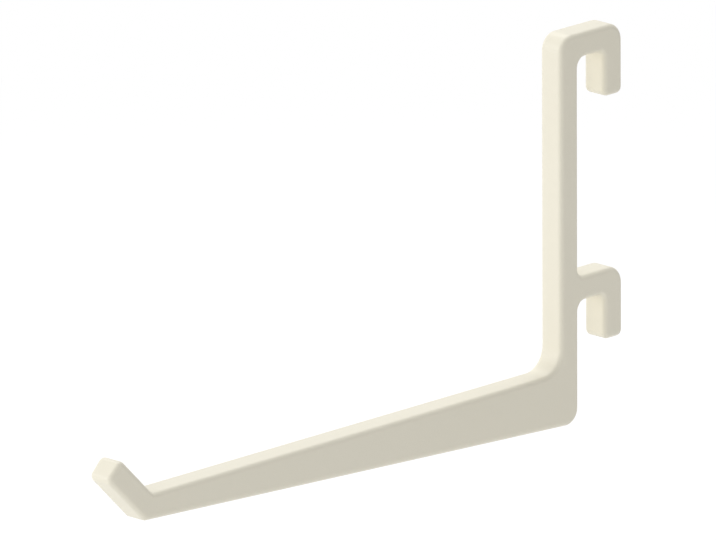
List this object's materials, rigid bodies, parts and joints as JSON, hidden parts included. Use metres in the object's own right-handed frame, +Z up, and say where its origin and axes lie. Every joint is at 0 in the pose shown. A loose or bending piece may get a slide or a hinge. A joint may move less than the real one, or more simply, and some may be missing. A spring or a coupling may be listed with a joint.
{
  "type": "pegboard hook",
  "caption": "Moulded plastic pegboard hook: a flat post with lugs that hang in the board's slots, and a long tapered arm that ends in an upturned tip.",
  "frame": {"origin": "on the post's back face, at mid-width, midway between the two lug seats", "axes": "+Z up, +Y into the board, the arm runs along -Y, X across the hook"},
  "size_m": [0.0046, 0.115, 0.0641],
  "materials": {
    "ivory_plastic": "satin moulded"
  },
  "bodies": {
    "root": {"hook": "ivory_plastic"}
  },
  "joints": []
}
